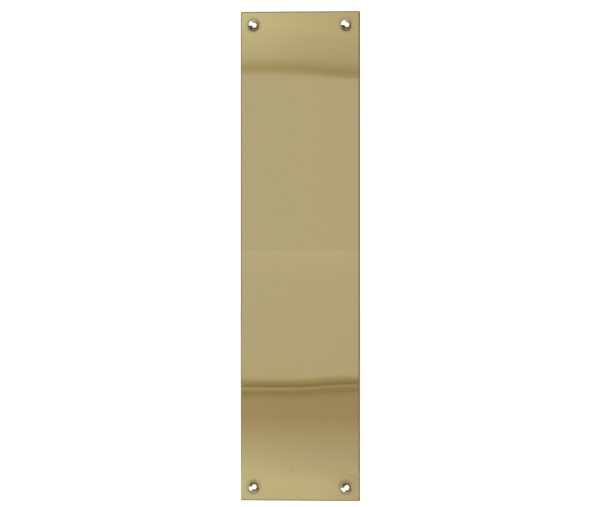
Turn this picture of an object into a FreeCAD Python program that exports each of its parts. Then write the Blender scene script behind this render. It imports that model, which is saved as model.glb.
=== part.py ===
import FreeCAD, Part
import math
import os

from FreeCAD import Vector

# A door finger plate: one flat rectangle of polished brass sheet with a countersunk
# screw hole in each corner. It stands upright as it does on a door: +Z along its
# length, X across its width, the polished front toward -Y, the back on Y = 0.
# Millimetres. The origin is the middle of the back face.

# Driving dimensions
PLATE_LENGTH = 305.0  # along Z
PLATE_WIDTH = 76.0  # along X
PLATE_THICKNESS = 2.0  # along Y
CORNER_RADIUS = 0.85  # the four corners, seen from the front
FRONT_EDGE_RADIUS = 0.75  # front arris, rounded over in polishing
BACK_EDGE_CHAMFER = 0.15  # back arris, deburred

HOLE_INSET = 8.4  # hole centre in from the two edges beside it
HOLE_PITCH_ACROSS = PLATE_WIDTH - 2.0 * HOLE_INSET  # along X
HOLE_PITCH_ALONG = PLATE_LENGTH - 2.0 * HOLE_INSET  # along Z
HOLE_DIAMETER = 3.0  # clear hole for a gauge 4 wood screw, 2.8 mm in the shank
SINK_ANGLE = 100.0  # included angle of the countersink
RIM_DIAMETER = 6.74  # where the rolled rim of the countersink begins
RIM_RADIUS = 0.9  # the rim, rolled over in polishing
DISH_WIDTH = 1.5  # shallow dish that the polishing leaves round the rim
DISH_SLOPE = 8.0  # its steepest slope, in degrees, where it meets the rim


def rim_section():
    """Half section of one screw hole, outside in: points (radius, depth) at the ends and middles of its arcs."""
    slope = math.radians(DISH_SLOPE)
    half = math.radians(90.0 - SINK_ANGLE / 2.0)  # slope of the cone
    rim_r = RIM_DIAMETER / 2.0
    dish_r = DISH_WIDTH / math.sin(slope)

    def dish(a):
        return rim_r + DISH_WIDTH - dish_r * math.sin(a), dish_r * (1.0 - math.cos(a))

    r0, d0 = dish(slope)
    cr, cd = r0 + RIM_RADIUS * math.sin(slope), d0 + RIM_RADIUS * math.cos(slope)

    def rim(a):
        return cr - RIM_RADIUS * math.sin(a), cd - RIM_RADIUS * math.cos(a)

    cone_top = rim(half)
    hole_r = HOLE_DIAMETER / 2.0
    cone_end = hole_r, cone_top[1] + (cone_top[0] - hole_r) * math.tan(half)
    return {
        "dish": (dish(0.0), dish(slope / 2.0), dish(slope)),
        "rim": (rim(slope), rim((slope + half) / 2.0), cone_top),
        "cone": (cone_top, cone_end),
    }


def hole_ring():
    """The ring of plate round one hole, from the clear hole out to the edge of the dish, its axis along Y through the origin."""
    s = rim_section()

    def at(p):
        return Vector(p[0], p[1] - PLATE_THICKNESS, 0.0)

    outer, hole_r = s["dish"][0][0], HOLE_DIAMETER / 2.0
    ends = [
        at(s["dish"][0]),
        at(s["dish"][2]),
        at(s["rim"][2]),
        at(s["cone"][1]),
        Vector(hole_r, 0.0, 0.0),
        Vector(outer, 0.0, 0.0),
    ]
    edges = [
        Part.Arc(ends[0], at(s["dish"][1]), ends[1]).toShape(),
        Part.Arc(ends[1], at(s["rim"][1]), ends[2]).toShape(),
        Part.makeLine(ends[2], ends[3]),
        Part.makeLine(ends[3], ends[4]),
        Part.makeLine(ends[4], ends[5]),
        Part.makeLine(ends[5], ends[0]),
    ]
    section = Part.Face(Part.Wire(edges))
    return section.revolve(Vector(0, 0, 0), Vector(0, 1, 0), 360.0), outer


def edges_on(shape, y):
    """The edges of a shape that lie wholly in the plane Y = y."""
    return [
        e
        for e in shape.Edges
        if abs(e.BoundBox.YMin - y) < 1e-6 and abs(e.BoundBox.YMax - y) < 1e-6
    ]


def sheet():
    """The blank: a rectangle of sheet with its corners and arrises broken, before drilling."""
    blank = Part.makeBox(
        PLATE_WIDTH,
        PLATE_THICKNESS,
        PLATE_LENGTH,
        Vector(-PLATE_WIDTH / 2.0, -PLATE_THICKNESS, -PLATE_LENGTH / 2.0),
    )
    across = [
        e
        for e in blank.Edges
        if abs(e.BoundBox.YLength - PLATE_THICKNESS) < 1e-6
        and e.BoundBox.XLength < 1e-6
        and e.BoundBox.ZLength < 1e-6
    ]
    blank = blank.makeFillet(CORNER_RADIUS, across)
    blank = blank.makeFillet(FRONT_EDGE_RADIUS, edges_on(blank, -PLATE_THICKNESS))
    return blank.makeChamfer(BACK_EDGE_CHAMFER, edges_on(blank, 0.0))


def finger_plate():
    plate = sheet()
    ring, outer = hole_ring()
    centres = [
        Vector(i * HOLE_PITCH_ACROSS / 2.0, 0.0, j * HOLE_PITCH_ALONG / 2.0)
        for i in (-1, 1)
        for j in (-1, 1)
    ]
    # each hole is opened to the edge of its dish, and its ring is set in
    opening = Part.makeCylinder(
        outer,
        PLATE_THICKNESS + 2.0,
        Vector(0, -PLATE_THICKNESS - 1.0, 0),
        Vector(0, 1, 0),
    )
    plate = plate.cut([opening.translated(c) for c in centres])
    plate = plate.fuse([ring.translated(c) for c in centres]).removeSplitter()
    return plate.Solids[0] if len(plate.Solids) == 1 else plate


shape = finger_plate()
print(
    "finger_plate",
    "valid",
    shape.isValid(),
    "solids",
    len(shape.Solids),
    "faces",
    len(shape.Faces),
    "volume",
    round(shape.Volume, 2),
)
os.makedirs("parts", exist_ok=True)
shape.exportStep("parts/finger_plate.step")
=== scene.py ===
import math

import bpy
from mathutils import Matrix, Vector


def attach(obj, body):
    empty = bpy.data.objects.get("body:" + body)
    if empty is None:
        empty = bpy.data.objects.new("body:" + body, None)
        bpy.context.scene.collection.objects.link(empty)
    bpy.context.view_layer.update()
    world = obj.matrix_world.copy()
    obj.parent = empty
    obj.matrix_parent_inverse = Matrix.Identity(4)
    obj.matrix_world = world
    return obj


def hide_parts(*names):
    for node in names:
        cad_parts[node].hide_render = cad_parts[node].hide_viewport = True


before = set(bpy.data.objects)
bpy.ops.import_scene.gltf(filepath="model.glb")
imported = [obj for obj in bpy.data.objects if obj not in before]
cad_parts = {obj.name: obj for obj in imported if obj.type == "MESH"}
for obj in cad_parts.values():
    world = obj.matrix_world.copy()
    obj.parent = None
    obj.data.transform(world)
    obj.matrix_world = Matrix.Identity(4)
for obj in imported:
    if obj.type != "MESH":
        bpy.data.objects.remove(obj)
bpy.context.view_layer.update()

# ---------------------------------------------------------------------------
# The plate's own dimensions, in millimetres, as in the construction model
# ---------------------------------------------------------------------------
W, H, T = 76.0, 305.0, 2.0
CORNER_R, FRONT_R, BACK_R = 0.85, 0.75, 0.15
INSET, HOLE_R = 8.4, 1.5
RIM_R, RIM_ROLL, DISH_W, DISH_SLOPE = 3.37, 0.9, 1.5, math.radians(8.0)
SINK = math.radians(40.0)
BACK_BREAK = 0.06
MM = 0.001

HOLE_X, HOLE_Z = W / 2 - INSET, H / 2 - INSET
FLOOR_Z = -H / 2 * MM

# where the camera stands: degrees round to the right, metres away, metres up
VIEW_SIDE, VIEW_DIST, VIEW_HIGH = math.radians(12.9), 4.5, 0.0111
CARD_Y = -0.5

# material slots of the piece
POLISHED, TURNED, EDGE, BACK = range(4)


# ---------------------------------------------------------------------------
# Mesh of the plate
# ---------------------------------------------------------------------------
def smooth(t):
    t = min(max(t, 0.0), 1.0)
    return t * t * (3.0 - 2.0 * t)


def wave(x, z):
    """How far the polished face lies below dead flat, in mm: rolled sheet is never a perfect mirror."""
    s = (
        0.45 * math.sin(2 * math.pi * z / 118.0 + 0.7)
        + 0.30 * math.sin(2 * math.pi * (0.8 * x + 0.25 * z) / 52.0 + 1.9)
        + 0.25 * math.sin(2 * math.pi * (z - 0.4 * x) / 37.0 + 4.1)
    )
    edge = min(W / 2 - FRONT_R - abs(x), H / 2 - FRONT_R - abs(z))
    hole = math.hypot(abs(x) - HOLE_X, abs(z) - HOLE_Z) - RIM_R - DISH_W
    return 0.0012 * (1.0 + s) * smooth(edge / 9.0) * smooth(hole / 9.0)


def wave_normal(x, z):
    e = 0.05
    dx = (wave(x + e, z) - wave(x - e, z)) / (2 * e)
    dz = (wave(x, z + e) - wave(x, z - e)) / (2 * e)
    return Vector((dx, -1.0, dz)).normalized()


class Shell:
    def __init__(self):
        self.co, self.no, self.faces, self.mats, self.corner_no = [], [], [], [], []

    def vert(self, x, y, z, n):
        self.co.append((x * MM, y * MM, z * MM))
        self.no.append(Vector(n))
        return len(self.co) - 1

    def face(self, idx, mat, flip=False, own=None):
        """One face; own gives another normal for some of its corners."""
        idx = list(idx)
        if flip:
            idx.reverse()
        self.faces.append(idx)
        self.mats.append(mat)
        for i in idx:
            self.corner_no.append((own or {}).get(i, self.no[i]))

    def strip(self, outer, inner, mat, flip=False, own=None):
        n = len(outer)
        for k in range(n):
            j = (k + 1) % n
            self.face((outer[k], outer[j], inner[j], inner[k]), mat, flip, own)


SIDE_N, MID_X, MID_Z, ARC_N = 24, 18, 110, 6
AROUND = 4 * SIDE_N


def lines(bound, centre, half, mid_n):
    """Grid lines along one axis: fine beside the holes, wider between them."""
    inner = centre - half
    out = [bound] + [centre + half - k * 2 * half / SIDE_N for k in range(1, SIDE_N + 1)]
    mid = [inner - k * 2 * inner / mid_n for k in range(1, mid_n)]
    return [-v for v in out] + [-v for v in mid] + out[::-1]


def flat_side(m, front):
    """The front or the back as a grid with a round opening in each corner block.

    Returns its outline, counter-clockwise from the front as (vertex, point, direction), and the ring of each opening.
    """
    inset = FRONT_R if front else BACK_R
    y = -T if front else 0.0
    half = INSET - FRONT_R
    ring_r = RIM_R + DISH_W if front else HOLE_R + BACK_BREAK
    mat, flip = (POLISHED, False) if front else (BACK, True)
    xs = lines(W / 2 - inset, HOLE_X, half, MID_X)
    zs = lines(H / 2 - inset, HOLE_Z, half, MID_Z)
    nx, nz = len(xs) - 1, len(zs) - 1

    def new(x, z):
        if front:
            return m.vert(x, y + wave(x, z), z, wave_normal(x, z))
        return m.vert(x, y, z, (0, 1, 0))

    corner_i = {-1: 0, 1: nx}
    corner_j = {-1: 0, 1: nz}
    grid, arcs = {}, {}
    for i in range(nx + 1):
        for j in range(nz + 1):
            in_x = 0 if i < SIDE_N else (1 if i > nx - SIDE_N else None)
            in_z = 0 if j < SIDE_N else (1 if j > nz - SIDE_N else None)
            if in_x is not None and in_z is not None:
                if i not in (0, nx) and j not in (0, nz):
                    continue
                if i in (0, nx) and j in (0, nz):
                    continue
            grid[i, j] = new(xs[i], zs[j])
    r = CORNER_R - inset
    for sx, sz, start in ((1, 1, 0), (-1, 1, 90), (-1, -1, 180), (1, -1, 270)):
        row = []
        for k in range(ARC_N + 1):
            a = math.radians(start + 90.0 * k / ARC_N)
            d = (math.cos(a), math.sin(a))
            p = (sx * (W / 2 - CORNER_R) + r * d[0], sz * (H / 2 - CORNER_R) + r * d[1])
            row.append((new(*p), p, d))
        arcs[sx, sz] = row

    for i in range(nx):
        for j in range(nz):
            block_x = i < SIDE_N or i >= nx - SIDE_N
            block_z = j < SIDE_N or j >= nz - SIDE_N
            if not (block_x and block_z):
                m.face(
                    (grid[i, j], grid[i + 1, j], grid[i + 1, j + 1], grid[i, j + 1]),
                    mat,
                    flip,
                )

    layers = 7 if front else 12
    rings = {}
    for sx in (-1, 1):
        for sz in (-1, 1):
            i0 = 0 if sx < 0 else nx - SIDE_N
            j0 = 0 if sz < 0 else nz - SIDE_N
            i1, j1 = i0 + SIDE_N, j0 + SIDE_N
            walk = [(i1 - k, j1) for k in range(SIDE_N)]
            walk += [(i0, j1 - k) for k in range(SIDE_N)]
            walk += [(i0 + k, j0) for k in range(SIDE_N)]
            walk += [(i1, j0 + k) for k in range(SIDE_N)]
            cx, cz = sx * HOLE_X, sz * HOLE_Z
            rows = []
            for layer in range(1, layers + 1):
                t = layer / layers
                if not front:
                    t = 1.0 - (1.0 - t) ** 1.5
                row = []
                for k, (i, j) in enumerate(walk):
                    a = math.radians(45.0 + 360.0 * k / AROUND)
                    px = (1 - t) * xs[i] + t * (cx + ring_r * math.cos(a))
                    pz = (1 - t) * zs[j] + t * (cz + ring_r * math.sin(a))
                    row.append(new(px, pz))
                rows.append(row)
            for k in range(AROUND):
                n = (k + 1) % AROUND
                a, b = walk[k], walk[n]
                first = grid[a] if a in grid else arcs[sx, sz][-1][0]
                last = grid[b] if b in grid else arcs[sx, sz][0][0]
                m.face((first, last, rows[0][n], rows[0][k]), mat, flip)
                if a not in grid:
                    row = arcs[sx, sz]
                    for q in range(ARC_N):
                        m.face((row[q][0], row[q + 1][0], rows[0][k]), mat, flip)
            for row, nxt in zip(rows, rows[1:]):
                m.strip(row, nxt, mat, flip)
            rings[sx, sz] = rows[-1]

    def point(i, j):
        return grid[i, j], (xs[i], zs[j])

    outline = list(arcs[1, 1])
    outline += [(*point(i, nz), (0, 1)) for i in range(nx - 1, 0, -1)]
    outline += arcs[-1, 1]
    outline += [(*point(0, j), (-1, 0)) for j in range(nz - 1, 0, -1)]
    outline += arcs[-1, -1]
    outline += [(*point(i, 0), (0, -1)) for i in range(1, nx)]
    outline += arcs[1, -1]
    outline += [(*point(nx, j), (1, 0)) for j in range(1, nz)]
    return outline, rings


def edge_band(m, front, back):
    """The rounded front arris, the cut edge and the broken back arris."""
    rings, mats = [[v for v, _, _ in front]], []

    def ring(out, y, n_out, n_y, mat):
        rings.append(
            [
                m.vert(
                    p[0] + d[0] * out,
                    y,
                    p[1] + d[1] * out,
                    (d[0] * n_out, n_y, d[1] * n_out),
                )
                for _, p, d in front
            ]
        )
        mats.append(mat)

    for k in range(1, 9):
        a = math.radians(90.0 * k / 8)
        ring(
            FRONT_R * math.sin(a),
            -T + FRONT_R * (1 - math.cos(a)),
            math.sin(a),
            -math.cos(a),
            POLISHED if k <= 5 else EDGE,
        )
    low, high = -T + FRONT_R, -BACK_R
    for k in range(1, 5):
        ring(FRONT_R, low + (high - low) * k / 4, 1.0, 0.0, EDGE)
    for k in range(1, 4):
        a = math.radians(90.0 * k / 4)
        ring(
            FRONT_R - BACK_R * (1 - math.cos(a)),
            -BACK_R + BACK_R * math.sin(a),
            math.cos(a),
            math.sin(a),
            EDGE,
        )
    rings.append([v for v, _, _ in back])
    mats.append(EDGE)
    for cur, nxt, mat in zip(rings, rings[1:], mats):
        m.strip(nxt, cur, mat)


def hole_wall(m, sx, sz, front_ring, back_ring):
    """Dish, rolled rim, cone and clear hole, from the front ring to the back ring."""
    cx, cz = sx * HOLE_X, sz * HOLE_Z
    angles = [math.radians(45.0 + 360.0 * k / AROUND) for k in range(AROUND)]

    def ring(r, y, inward, n_y):
        return [
            m.vert(
                cx + r * math.cos(a),
                y,
                cz + r * math.sin(a),
                (-inward * math.cos(a), n_y, -inward * math.sin(a)),
            )
            for a in angles
        ]

    cur = front_ring
    dish_r = DISH_W / math.sin(DISH_SLOPE)
    for k in range(1, 6):
        a = DISH_SLOPE * k / 5
        nxt = ring(
            RIM_R + DISH_W - dish_r * math.sin(a),
            -T + dish_r * (1 - math.cos(a)),
            math.sin(a),
            -math.cos(a),
        )
        m.strip(cur, nxt, POLISHED)
        cur = nxt
    depth = dish_r * (1 - math.cos(DISH_SLOPE))
    cr = RIM_R + RIM_ROLL * math.sin(DISH_SLOPE)
    cd = depth + RIM_ROLL * math.cos(DISH_SLOPE)
    for k in range(1, 13):
        a = DISH_SLOPE + (SINK - DISH_SLOPE) * k / 12
        r, d = cr - RIM_ROLL * math.sin(a), cd - RIM_ROLL * math.cos(a)
        nxt = ring(r, -T + d, math.sin(a), -math.cos(a))
        m.strip(cur, nxt, POLISHED if k <= 9 else TURNED)
        cur = nxt
    end = d + (r - HOLE_R) * math.tan(SINK)
    for k in range(1, 9):
        t = k / 8
        nxt = ring(
            r + (HOLE_R - r) * t, -T + d + (end - d) * t, math.sin(SINK), -math.cos(SINK)
        )
        m.strip(cur, nxt, TURNED)
        cur = nxt
    own = {
        v: Vector((-math.cos(a), 0.0, -math.sin(a)))
        for v, a in zip(cur, angles)
    }
    low = -T + end
    for k in range(1, 3):
        nxt = ring(HOLE_R, low + (-BACK_BREAK - low) * k / 2, 1.0, 0.0)
        m.strip(cur, nxt, TURNED, own=own)
        cur = nxt
    for k in range(1, 3):
        a = math.radians(90.0 * k / 3)
        nxt = ring(
            HOLE_R + BACK_BREAK * (1 - math.cos(a)),
            -BACK_BREAK * (1 - math.sin(a)),
            math.cos(a),
            math.sin(a),
        )
        m.strip(cur, nxt, TURNED)
        cur = nxt
    m.strip(cur, back_ring, TURNED)


def make_plate():
    m = Shell()
    front, front_rings = flat_side(m, True)
    back, back_rings = flat_side(m, False)
    edge_band(m, front, back)
    for key in front_rings:
        hole_wall(m, *key, front_rings[key], back_rings[key])
    mesh = bpy.data.meshes.new("brass_finger_plate")
    mesh.from_pydata(m.co, [], m.faces)
    mesh.polygons.foreach_set("material_index", m.mats)
    mesh.polygons.foreach_set("use_smooth", [True] * len(m.faces))
    mesh.update()
    mesh.normals_split_custom_set([n.normalized() for n in m.corner_no])
    obj = bpy.data.objects.new("brass_finger_plate", mesh)
    bpy.context.scene.collection.objects.link(obj)
    return obj


# ---------------------------------------------------------------------------
# Materials
# ---------------------------------------------------------------------------
class Tree:
    """A short way to write node trees."""

    def __init__(self, owner):
        owner.use_nodes = True
        self.tree = owner.node_tree
        self.tree.nodes.clear()

    def node(self, kind, _out=0, _in=None, **props):
        n = self.tree.nodes.new(kind)
        for k, v in props.items():
            setattr(n, k, v)
        for k, v in (_in or {}).items():
            self.put(n.inputs[k], v)
        return n

    def put(self, socket, value):
        if isinstance(value, bpy.types.NodeSocket):
            self.tree.links.new(value, socket)
        elif isinstance(value, bpy.types.Node):
            self.tree.links.new(value.outputs[0], socket)
        else:
            socket.default_value = value

    def math(self, op, a, b=None, c=None, clamp=False):
        n = self.node("ShaderNodeMath", operation=op, use_clamp=clamp)
        for i, v in enumerate((a, b, c)):
            if v is not None:
                self.put(n.inputs[i], v)
        return n.outputs[0]

    def span(self, value, lo, hi, to_lo=0.0, to_hi=1.0, kind="SMOOTHSTEP"):
        n = self.node("ShaderNodeMapRange", interpolation_type=kind)
        self.put(n.inputs["Value"], value)
        for k, v in (("From Min", lo), ("From Max", hi), ("To Min", to_lo), ("To Max", to_hi)):
            self.put(n.inputs[k], v)
        return n.outputs["Result"]

    def noise(self, vector, scale, detail=3.0, rough=0.5, stretch=None, distortion=0.0):
        if stretch:
            vector = self.node(
                "ShaderNodeVectorMath", operation="MULTIPLY", _in={0: vector, 1: stretch}
            ).outputs[0]
        n = self.node("ShaderNodeTexNoise")
        self.put(n.inputs["Vector"], vector)
        for k, v in (("Scale", scale), ("Detail", detail), ("Roughness", rough), ("Distortion", distortion)):
            self.put(n.inputs[k], v)
        return n.outputs["Fac"]

    def mix(self, fac, a, b):
        n = self.node("ShaderNodeMix", data_type="RGBA")
        self.put(n.inputs["Factor"], fac)
        self.put(n.inputs[6], a)
        self.put(n.inputs[7], b)
        return n.outputs[2]

    def bump(self, height, distance):
        n = self.node("ShaderNodeBump")
        self.put(n.inputs["Strength"], 1.0)
        self.put(n.inputs["Distance"], distance)
        self.put(n.inputs["Height"], height)
        return n.outputs[0]


def place(t):
    """Object coordinates, whole and split."""
    co = t.node("ShaderNodeTexCoord").outputs["Object"]
    xyz = t.node("ShaderNodeSeparateXYZ", _in={0: co})
    return co, xyz.outputs[0], xyz.outputs[1], xyz.outputs[2]


def brass(t, color, rough, normal=None):
    b = t.node("ShaderNodeBsdfPrincipled")
    b.inputs["Metallic"].default_value = 1.0
    t.put(b.inputs["Base Color"], color)
    t.put(b.inputs["Roughness"], rough)
    if normal is not None:
        t.put(b.inputs["Normal"], normal)
    out = t.node("ShaderNodeOutputMaterial")
    t.tree.links.new(b.outputs[0], out.inputs["Surface"])
    return b


def polished_material():
    """Mirror polish: a faint drift of tint in clouds, painted shade making the face a little darker and warmer toward
    the right, fine polishing lines, haze in patches and one small smudge.
    """
    mat = bpy.data.materials.new("polished_brass_front")
    t = Tree(mat)
    co, x, _, z = place(t)
    cloud = t.noise(co, 17.0, 3.0, 0.55)
    # painted shade: the face turns a little darker and warmer from left to right
    shade_across_width = t.span(x, -0.038, 0.038, kind="LINEAR")
    fac = t.math("ADD", t.math("MULTIPLY", shade_across_width, 0.6), t.math("MULTIPLY", cloud, 0.4))
    tint = t.mix(fac, (0.784, 0.668, 0.338, 1.0), (0.776, 0.618, 0.328, 1.0))
    haze = t.noise(co, 46.0, 5.0, 0.6, distortion=0.4)
    tarnish = t.span(haze, 0.56, 0.80, 0.0, 0.16)
    color = t.mix(tarnish, tint, (0.70, 0.545, 0.250, 1.0))
    hair = t.noise(co, 1.0, 2.0, 0.6, stretch=(1500.0, 1500.0, 22.0))
    rough = t.math("ADD", t.span(haze, 0.45, 0.80, 0.015, 0.034), t.math("MULTIPLY", hair, 0.006))
    # old polish round the screw holes, with painted shade: darker on the side toward the middle of the plate and more
    # at the lower holes
    dx = t.math("SUBTRACT", t.math("ABSOLUTE", x), HOLE_X * MM)
    dz = t.math("SUBTRACT", t.math("ABSOLUTE", z), HOLE_Z * MM)
    r = t.math("SQRT", t.math("ADD", t.math("MULTIPLY", dx, dx), t.math("MULTIPLY", dz, dz)))
    inward = t.math("MULTIPLY", t.span(dz, -0.0030, 0.0015, 1.0, 0.40), t.span(z, -0.05, 0.05, 1.0, 0.70))
    polish_and_painted_shade = t.math("MULTIPLY", t.span(r, 0.0034, 0.0064, 1.0, 0.0), t.span(t.noise(co, 330.0, 3.0, 0.6), 0.32, 0.66, 0.55, 1.0))
    polish_and_painted_shade = t.math("MULTIPLY", polish_and_painted_shade, t.math("MULTIPLY", inward, 0.92))
    # darkens the face round the holes: painted shade together with old polish
    color = t.mix(polish_and_painted_shade, color, (0.44, 0.345, 0.170, 1.0))
    # a small wiped smudge low on the face
    u = t.math("SUBTRACT", x, -0.0054)
    v = t.math("SUBTRACT", z, -0.1330)
    along = t.math("ADD", t.math("MULTIPLY", u, 0.80), t.math("MULTIPLY", v, 0.60))
    cross = t.math("SUBTRACT", t.math("MULTIPLY", v, 0.80), t.math("MULTIPLY", u, 0.60))
    reach = t.math(
        "ADD",
        t.math("POWER", t.math("DIVIDE", along, 0.0018), 2.0),
        t.math("POWER", t.math("DIVIDE", cross, 0.0007), 2.0),
    )
    smudge = t.span(reach, 0.2, 1.4, 1.0, 0.0)
    rough = t.math("ADD", rough, t.math("MULTIPLY", smudge, 0.09))
    color = t.mix(t.math("MULTIPLY", smudge, 0.55), color, (0.66, 0.52, 0.25, 1.0))
    brass(t, color, rough, t.bump(hair, 2.0e-7))
    return mat


def turned_material():
    """The cut cone: fine turning rings, darker by the clear hole, most on the side toward the middle of the plate and
    at the lower holes: polish and lacquer gathered there, with painted shade.
    """
    mat = bpy.data.materials.new("countersink_brass")
    t = Tree(mat)
    co, x, _, z = place(t)
    dx = t.math("SUBTRACT", t.math("ABSOLUTE", x), HOLE_X * MM)
    dz = t.math("SUBTRACT", t.math("ABSOLUTE", z), HOLE_Z * MM)
    r = t.math("SQRT", t.math("ADD", t.math("MULTIPLY", dx, dx), t.math("MULTIPLY", dz, dz)))
    ring = t.math("SINE", t.math("MULTIPLY", r, 2 * math.pi / 0.00019))
    grit = t.noise(co, 900.0, 3.0, 0.6)
    # painted shade with gathered polish: dark near the clear hole, strongest toward the middle of the plate and at
    # the lower holes
    gathered_polish_and_shade = t.math(
        "MULTIPLY",
        t.span(r, 0.0018, 0.0036, 1.0, 0.0),
        t.span(t.noise(co, 420.0, 3.0, 0.6), 0.30, 0.72, 0.50, 1.0),
    )
    side = t.math("MULTIPLY", t.span(dz, -0.0016, 0.0006, 1.0, 0.25), t.span(z, -0.05, 0.05, 1.0, 0.62))
    gathered_polish_and_shade = t.math("MULTIPLY", gathered_polish_and_shade, side)
    color = t.mix(gathered_polish_and_shade, (0.70, 0.600, 0.385, 1.0), (0.12, 0.098, 0.064, 1.0))
    rough = t.math("ADD", t.math("MULTIPLY", gathered_polish_and_shade, 0.10), t.math("MULTIPLY", grit, 0.06))
    height = t.math("ADD", t.math("MULTIPLY", ring, 0.5), t.math("MULTIPLY", grit, 0.4))
    brass(t, color, t.math("ADD", rough, 0.10), t.bump(height, 8.0e-7))
    return mat


def edge_material():
    """The sheared and linished edge: satin, browned a little, with lines along it."""
    mat = bpy.data.materials.new("cut_edge_brass")
    t = Tree(mat)
    co, _, y, _ = place(t)
    brown = t.noise(co, 120.0, 4.0, 0.6)
    lines_ = t.noise(co, 1.0, 3.0, 0.6, stretch=(60.0, 9000.0, 60.0))
    worn = t.span(y, -0.0019, -0.0010, 0.75, 1.0)
    fac = t.math("MULTIPLY", t.span(brown, 0.30, 0.75, 0.35, 1.0), worn)
    color = t.mix(fac, (0.70, 0.565, 0.290, 1.0), (0.52, 0.395, 0.200, 1.0))
    rough = t.math("ADD", t.span(lines_, 0.3, 0.7, 0.13, 0.24), t.math("MULTIPLY", brown, 0.06))
    b = brass(t, color, rough, t.bump(lines_, 2.0e-6))
    b.inputs["Specular Tint"].default_value = (0.58, 0.50, 0.38, 1.0)
    return mat


def back_material():
    """Mill finish: rolling lines along the length, duller, clouded with tarnish and a few scuffs."""
    mat = bpy.data.materials.new("mill_finish_back")
    t = Tree(mat)
    co, _, _, _ = place(t)
    cloud = t.noise(co, 21.0, 5.0, 0.6, distortion=0.6)
    spots = t.noise(co, 150.0, 4.0, 0.65)
    roll = t.noise(co, 1.0, 4.0, 0.65, stretch=(520.0, 520.0, 7.0))
    scuff = t.noise(co, 1.0, 2.0, 0.5, stretch=(90.0, 300.0, 420.0), distortion=1.2)
    base = t.mix(t.span(roll, 0.25, 0.75), (0.68, 0.545, 0.265, 1.0), (0.74, 0.60, 0.300, 1.0))
    color = t.mix(t.span(cloud, 0.42, 0.78, 0.0, 0.55), base, (0.52, 0.400, 0.190, 1.0))
    color = t.mix(t.span(spots, 0.64, 0.82, 0.0, 0.35), color, (0.36, 0.255, 0.115, 1.0))
    color = t.mix(t.span(scuff, 0.66, 0.74, 0.0, 0.35), color, (0.80, 0.67, 0.350, 1.0))
    rough = t.math("ADD", t.span(cloud, 0.30, 0.75, 0.24, 0.40), t.math("MULTIPLY", roll, 0.10))
    height = t.math("ADD", t.math("MULTIPLY", roll, 1.0), t.math("MULTIPLY", spots, 0.3))
    brass(t, color, rough, t.bump(height, 4.0e-6))
    return mat


plate = make_plate()
for mat in (polished_material(), turned_material(), edge_material(), back_material()):
    plate.data.materials.append(mat)
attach(plate, "root")
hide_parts("finger_plate")


# ---------------------------------------------------------------------------
# Stage: a pale floor, white surroundings, and soft cards for the brass to mirror
# ---------------------------------------------------------------------------
def sheet_object(name, points, faces, uvs=None):
    mesh = bpy.data.meshes.new(name)
    mesh.from_pydata(points, [], faces)
    if uvs:
        layer = mesh.uv_layers.new(name="UVMap")
        for loop in mesh.loops:
            layer.data[loop.index].uv = uvs[loop.vertex_index]
    mesh.update()
    obj = bpy.data.objects.new(name, mesh)
    bpy.context.scene.collection.objects.link(obj)
    return obj


def only_in_reflections(obj):
    obj.visible_camera = False
    obj.visible_diffuse = False
    obj.visible_shadow = False
    obj.visible_transmission = False
    obj.visible_volume_scatter = False
    obj.visible_glossy = True


def glow(name, build):
    """An emitting stage material; build(tree) gives its colour socket or value and its strength."""
    mat = bpy.data.materials.new(name)
    t = Tree(mat)
    color, strength = build(t)
    e = t.node("ShaderNodeEmission")
    t.put(e.inputs["Color"], color)
    t.put(e.inputs["Strength"], strength)
    out = t.node("ShaderNodeOutputMaterial")
    t.tree.links.new(e.outputs[0], out.inputs["Surface"])
    return mat


def floor_material():
    mat = bpy.data.materials.new("pale_floor")
    t = Tree(mat)
    co, _, _, _ = place(t)
    tone = t.noise(co, 6.0, 3.0, 0.5)
    b = t.node("ShaderNodeBsdfPrincipled")
    t.put(b.inputs["Base Color"], t.mix(tone, (0.90, 0.90, 0.895, 1.0), (0.92, 0.92, 0.915, 1.0)))
    b.inputs["Roughness"].default_value = 0.9
    b.inputs["Specular IOR Level"].default_value = 0.0
    out = t.node("ShaderNodeOutputMaterial")
    t.tree.links.new(b.outputs[0], out.inputs["Surface"])
    return mat


def grid_points(size, z):
    return [(-size, -size, z), (size, -size, z), (size, size, z), (-size, size, z)]


floor = sheet_object("studio_floor", grid_points(12.0, FLOOR_Z), [(0, 1, 2, 3)])
floor.data.materials.append(floor_material())
floor.visible_glossy = False


def floor_glow(t):
    """The floor as the brass mirrors it: dim at the foot of the plate, brightest near it, then falling off, with a soft shade on the right in front."""
    _, x, y, _ = place(t)
    away = t.math("SUBTRACT", t.math("ABSOLUTE", y), 0.002)
    foot = t.span(away, 0.0010, 0.0030, 0.70, 0.0)
    near = t.math("MAXIMUM", foot, t.span(away, 0.004, 0.018, 0.40, 1.0))
    out = t.math("SQRT", t.math("ADD", t.math("MULTIPLY", x, x), t.math("MULTIPLY", y, y)))
    far = t.span(out, 0.30, 0.90, 0.67, 0.50, "LINEAR")
    slant = t.math("ADD", x, t.math("MULTIPLY", away, 0.229))
    shade = t.math("MULTIPLY", t.span(slant, 0.006, 0.046, 0.0, 0.16), t.span(slant, 0.046, 0.110, 1.0, 0.30))
    shade = t.math("MULTIPLY", shade, t.span(y, -0.004, -0.001, 1.0, 0.0))
    side = t.math("MULTIPLY", t.span(x, -0.14, -0.03, 1.03, 0.97), t.math("SUBTRACT", 1.0, shade))
    level = t.math("MULTIPLY", t.math("MULTIPLY", near, far), side)
    return (1.0, 1.02, 0.94, 1.0), level


mirror_floor = sheet_object("floor_in_mirror", grid_points(8.0, FLOOR_Z), [(0, 1, 2, 3)])
mirror_floor.data.materials.append(glow("floor_glow", floor_glow))
only_in_reflections(mirror_floor)

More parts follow.
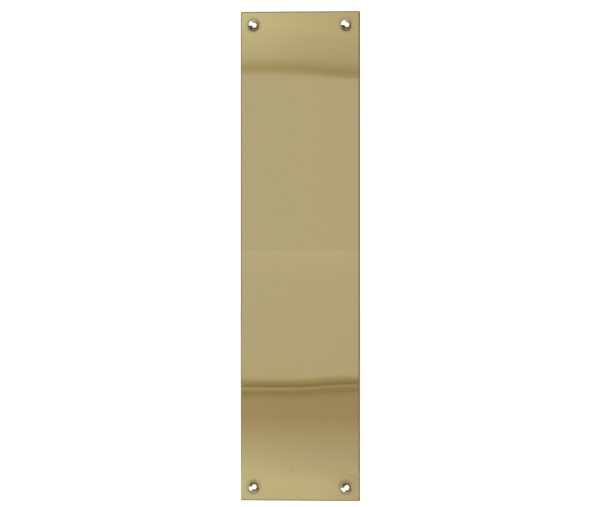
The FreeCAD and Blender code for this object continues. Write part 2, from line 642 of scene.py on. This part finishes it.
# tints of the cards, as shares of red
NEUTRAL, WARM, ROSY, FRESH = (1.0, 1.0, 1.0), (1.0, 0.88, 0.58), (1.0, 0.86, 0.74), (1.0, 1.02, 0.94)


def between(a, b, share):
    return tuple(p + (q - p) * share for p, q in zip(a, b))


def pinch(x):
    """The cards draw together a little toward the right."""
    return 1.0 + 0.0285 * smooth((x + 0.1215) / 0.0455)


def card_height(z):
    """How high on the cards the middle of the plate mirrors at its own height z."""
    return z + (z - VIEW_HIGH) * (-CARD_Y - T * MM) / (VIEW_DIST * math.cos(VIEW_SIDE))


def card(name, z0, z1, stops, sides=((0.0, 1.0, 1.0), (1.0, 1.0, 1.0)), warm=0.0, cols=64):
    """An upright soft card in front of the plate, fading out at its left and right ends.

    Heights are those on the plate where it is mirrored, from z0 to z1. stops: (height, brightness, tint)
    from the bottom up. sides: brightness left and right of its middle, at two heights, each (height, left, right).
    warm: how far its right side leans to the warm tint at the second height.
    """
    x0, x1 = -0.320, 0.220
    low = FLOOR_Z if z0 is None else card_height(z0)
    high = card_height(z1)
    pts, uvs, faces = [], [], []
    for k in range(cols + 1):
        x = x0 + (x1 - x0) * k / cols
        for v, z in ((0.0, low), (1.0, high)):
            pts.append((x, CARD_Y, z if z == FLOOR_Z else z / pinch(x)))
            uvs.append((x, v))
    for k in range(cols):
        faces.append((2 * k, 2 * k + 2, 2 * k + 3, 2 * k + 1))
    obj = sheet_object(name, pts, faces, uvs)

    def build(t):
        uv = t.node("ShaderNodeUVMap", uv_map="UVMap")
        sep = t.node("ShaderNodeSeparateXYZ", _in={0: uv})
        ramp = t.node("ShaderNodeValToRGB")
        els = ramp.color_ramp.elements
        while len(els) > 1:
            els.remove(els[-1])
        for n, (z, bright, tint) in enumerate(stops):
            at = (card_height(z) - low) / (high - low)
            e = els[0] if n == 0 else els.new(at)
            e.position = at
            e.color = (*(bright * c for c in tint), 1.0)
        t.put(ramp.inputs[0], sep.outputs[1])
        x = sep.outputs[0]
        ends = t.math("MULTIPLY", t.span(x, x0, -0.180, 0.5, 1.0), t.span(x, 0.070, x1, 1.0, 0.5))
        (za, *side_a), (zb, *side_b) = sides
        share = t.span(sep.outputs[1], *((card_height(z) - low) / (high - low) for z in (za, zb)), kind="LINEAR")
        side = t.math("ADD",
                      t.math("MULTIPLY", t.math("SUBTRACT", 1.0, share), t.span(x, -0.166, -0.076, *side_a)),
                      t.math("MULTIPLY", share, t.span(x, -0.166, -0.076, *side_b)))
        lean = t.math("MULTIPLY", share, t.span(x, -0.166, -0.076, 0.0, warm))
        color = t.node("ShaderNodeMix", data_type="RGBA", blend_type="MULTIPLY")
        t.put(color.inputs["Factor"], lean)
        t.put(color.inputs[6], ramp.outputs[0])
        t.put(color.inputs[7], (*WARM, 1.0))
        return color.outputs[2], t.math("MULTIPLY", ends, side)

    obj.data.materials.append(glow(name + "_glow", build))
    only_in_reflections(obj)
    return obj


SEAM_TOP, SEAM_LOW, GAP_TOP, GAP_LOW = 0.1138, -0.0821, -0.0836, -0.0870
card(
    "card_upper", SEAM_TOP, 0.2270,
    [(0.1139, 0.490, between(NEUTRAL, WARM, 0.45)), (0.1153, 0.485, between(NEUTRAL, WARM, 0.50)), (0.1171, 0.425, between(NEUTRAL, WARM, 0.65)),
     (0.1190, 0.470, between(NEUTRAL, WARM, 0.60)), (0.1244, 0.563, between(NEUTRAL, WARM, 0.15)), (0.1438, 0.665, FRESH), (0.1619, 0.665, FRESH), (0.2270, 0.30, NEUTRAL)],
    ((0.1138, 1.05, 0.955), (0.1350, 1.07, 0.905)), 0.12,
)
card(
    "card_middle", SEAM_LOW, SEAM_TOP,
    [(-0.0813, 0.290, WARM), (-0.0783, 0.440, between(NEUTRAL, WARM, 0.8)), (-0.0758, 0.56, between(NEUTRAL, WARM, 0.1)),
     (-0.0148, 0.57, NEUTRAL), (0.0031, 0.610, NEUTRAL), (0.0042, 0.57, NEUTRAL), (0.1105, 0.57, NEUTRAL), (0.1134, 0.54, between(NEUTRAL, WARM, 0.1))],
)
card("card_streak", GAP_TOP, SEAM_LOW, [(-0.0836, 0.47, between(NEUTRAL, WARM, 0.6)), (-0.0824, 0.51, between(NEUTRAL, WARM, 0.6))], ((GAP_TOP, 1.0, 0.86), (SEAM_LOW, 1.0, 0.86)))
card("card_gap", GAP_LOW, GAP_TOP, [(-0.0870, 0.332, WARM), (-0.0842, 0.365, WARM)])
card(
    "card_sweep", None, GAP_LOW,
    [(-0.1358, 0.636, FRESH), (-0.1290, 0.595, between(NEUTRAL, FRESH, 0.4)), (-0.1269, 0.58, NEUTRAL), (-0.1135, 0.515, between(NEUTRAL, WARM, 0.35)),
     (-0.1023, 0.455, ROSY), (-0.0905, 0.442, ROSY), (-0.0878, 0.405, between(ROSY, WARM, 0.5))],
    ((-0.1023, 1.01, 0.965), (-0.1358, 1.035, 0.915)), 0.20,
)


def plain_glow(tint, level):
    return lambda t: ((*tint, 1.0), level)


backing = sheet_object(
    "dim_backing",
    [(-1.5, -0.52, FLOOR_Z), (1.5, -0.52, FLOOR_Z), (1.5, -0.52, 0.9), (-1.5, -0.52, 0.9)],
    [(0, 1, 2, 3)],
)
backing.data.materials.append(glow("dim_backing_glow", plain_glow((1.0, 0.96, 0.86), 0.25)))
only_in_reflections(backing)

# a bright card close by on the right, level with the middle of the plate, to show in the countersinks
side_card = sheet_object(
    "side_card",
    [(x, y, z) for x, z in ((0.108, -0.1280), (0.140, -0.1280), (0.140, 0.1415), (0.108, 0.1415)) for y in (-0.115, -0.030)],
    [(0, 1, 3, 2), (2, 3, 5, 4), (4, 5, 7, 6)],
)
side_card.data.materials.append(glow("side_card_glow", plain_glow((0.80, 0.95, 1.30), 8.0)))
only_in_reflections(side_card)

# a narrow flag beside the right edge keeps that card off the edge
edge_flag = sheet_object(
    "edge_flag",
    [(0.0395, 0.0, FLOOR_Z), (0.0395, -0.0052, FLOOR_Z), (0.0395, -0.0052, 0.1525), (0.0395, 0.0, 0.1525)],
    [(0, 1, 2, 3)],
)
edge_flag.data.materials.append(glow("edge_flag_glow", plain_glow((1.0, 0.97, 0.90), 0.23)))
only_in_reflections(edge_flag)

# a dark flag above the head, for the upper holes
flag = sheet_object(
    "flag_high",
    [(0.050, 0.05, 0.1535), (0.050, -0.40, 0.1535), (0.050, -0.40, 0.90), (0.050, 0.05, 0.90)],
    [(0, 1, 2, 3)],
)
flag.data.materials.append(glow("flag_high", plain_glow((1.0, 0.92, 0.76), 0.15)))
only_in_reflections(flag)


# white surroundings, much dimmer where the brass mirrors them
world = bpy.data.worlds.new("studio")
bpy.context.scene.world = world
w = Tree(world)
path = w.node("ShaderNodeLightPath")
ray = w.node("ShaderNodeTexCoord").outputs["Generated"]
sep = w.node("ShaderNodeSeparateXYZ", _in={0: ray})
up = w.span(sep.outputs[2], 0.05, 0.6, 0.23, 0.42)
dim = w.node("ShaderNodeBackground")
dim.inputs["Color"].default_value = (1.0, 0.97, 0.90, 1.0)
w.put(dim.inputs["Strength"], up)
white = w.node("ShaderNodeBackground")
white.inputs["Color"].default_value = (1.0, 1.0, 1.0, 1.0)
white.inputs["Strength"].default_value = 1.15
pick = w.node("ShaderNodeMixShader")
w.put(pick.inputs[0], path.outputs["Is Glossy Ray"])
w.tree.links.new(white.outputs[0], pick.inputs[1])
w.tree.links.new(dim.outputs[0], pick.inputs[2])
out = w.node("ShaderNodeOutputWorld")
w.tree.links.new(pick.outputs[0], out.inputs["Surface"])


def soft_light(name, at, aim, size, power):
    data = bpy.data.lights.new(name, "AREA")
    data.shape, data.size, data.energy = "DISK", size, power
    obj = bpy.data.objects.new(name, data)
    obj.location = at
    obj.rotation_euler = (Vector(aim) - Vector(at)).to_track_quat("-Z", "Y").to_euler()
    bpy.context.scene.collection.objects.link(obj)
    return obj


overhead = soft_light("overhead_soft", (0.3, -0.4, 2.2), (0.0, 0.2, FLOOR_Z), 1.6, 22.0)
overhead.visible_glossy = False

# ---------------------------------------------------------------------------
# Camera: a long lens from the right of the plate, level with its middle
# ---------------------------------------------------------------------------
cam_data = bpy.data.cameras.new("camera")
cam = bpy.data.objects.new("camera", cam_data)
bpy.context.scene.collection.objects.link(cam)
cam_data.sensor_width = 36.0
cam_data.lens = 433.1
cam.location = (VIEW_DIST * math.sin(VIEW_SIDE), -VIEW_DIST * math.cos(VIEW_SIDE), VIEW_HIGH)
yaw, pitch = VIEW_SIDE + math.radians(0.0046), math.radians(-0.1211)
look = Vector((-math.sin(yaw) * math.cos(pitch), math.cos(yaw) * math.cos(pitch), math.sin(pitch)))
cam.rotation_mode = "QUATERNION"
cam.rotation_quaternion = look.to_track_quat("-Z", "Y")
bpy.context.scene.camera = cam
bpy.context.scene.view_settings.view_transform = "Standard"
